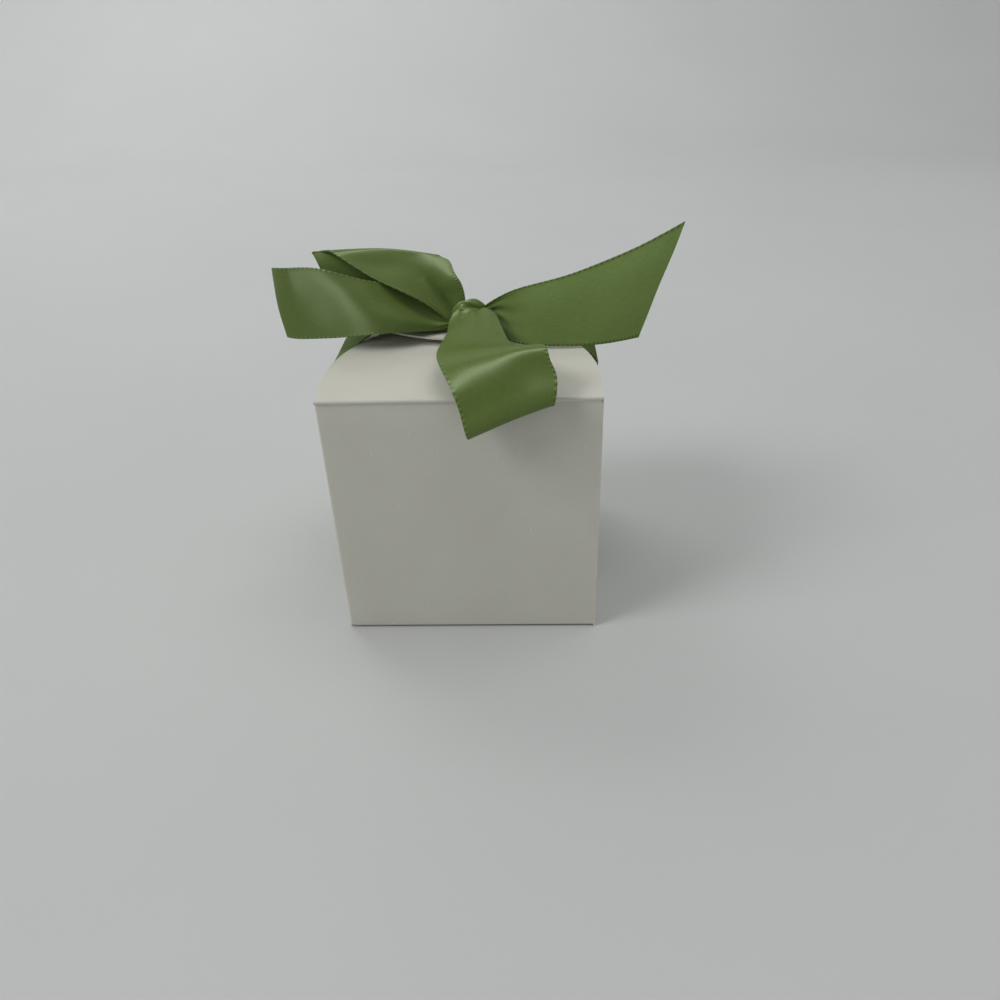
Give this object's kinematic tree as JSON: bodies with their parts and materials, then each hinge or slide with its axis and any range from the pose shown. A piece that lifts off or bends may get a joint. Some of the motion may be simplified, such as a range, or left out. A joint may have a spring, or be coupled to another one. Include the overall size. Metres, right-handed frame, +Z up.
{
  "type": "favor box",
  "caption": "Small folded paperboard gift box with half-round arched closure flaps that overlap on top, tied round with a satin ribbon in a bow.",
  "frame": {"origin": "on the floor, at the middle of the ribbon's span under the middle of the box", "axes": "+X to the right seen from the front, +Y to the back, +Z up"},
  "size_m": [0.0763, 0.0566, 0.0752],
  "materials": {
    "board": "matte ivory paperboard",
    "ribbon": "sage green satin"
  },
  "bodies": {
    "box_and_ribbon": {"front_panel": "board", "back_panel": "board", "left_panel": "board", "right_panel": "board", "glue_tab": "board", "front_bottom_flap": "board", "back_bottom_flap": "board", "left_bottom_flap": "board", "right_bottom_flap": "board", "ribbon_base_span": "ribbon", "ribbon_left_span": "ribbon", "ribbon_right_span": "ribbon", "ribbon_left_top_span": "ribbon", "ribbon_right_top_span": "ribbon", "knot": "ribbon", "knot_band": "ribbon", "left_loop": "ribbon", "front_loop": "ribbon", "left_tail": "ribbon", "right_tail": "ribbon"},
    "front_flap": {"front_closure_flap": "board"},
    "back_flap": {"back_closure_flap": "board"},
    "left_flap": {"left_dust_flap": "board"},
    "right_flap": {"right_dust_flap": "board"}
  },
  "joints": [
    {"name": "back_flap_hinge", "type": "hinge", "parent": "box_and_ribbon", "child": "back_flap", "pos_m": [0, 0.0252, 0.05135], "axis": [-1, 0, 0], "range_deg": [0, 150], "deforming": ["ribbon_left_span", "ribbon_right_span", "ribbon_left_top_span", "ribbon_right_top_span", "knot", "knot_band", "left_loop", "front_loop", "left_tail", "right_tail"]},
    {"name": "front_flap_hinge", "type": "hinge", "parent": "box_and_ribbon", "child": "front_flap", "pos_m": [0, -0.0252, 0.05135], "axis": [1, 0, 0], "range_deg": [0, 75]},
    {"name": "left_dust_flap_hinge", "type": "hinge", "parent": "box_and_ribbon", "child": "left_flap", "pos_m": [-0.025, 0, 0.05065], "axis": [0, 1, 0], "range_deg": [0, 70]},
    {"name": "right_dust_flap_hinge", "type": "hinge", "parent": "box_and_ribbon", "child": "right_flap", "pos_m": [0.025, 0, 0.05065], "axis": [0, -1, 0], "range_deg": [0, 70]}
  ],
  "couplings": [
    {"joint": "front_flap_hinge", "follows": "back_flap_hinge", "ratio": 0.5}
  ]
}
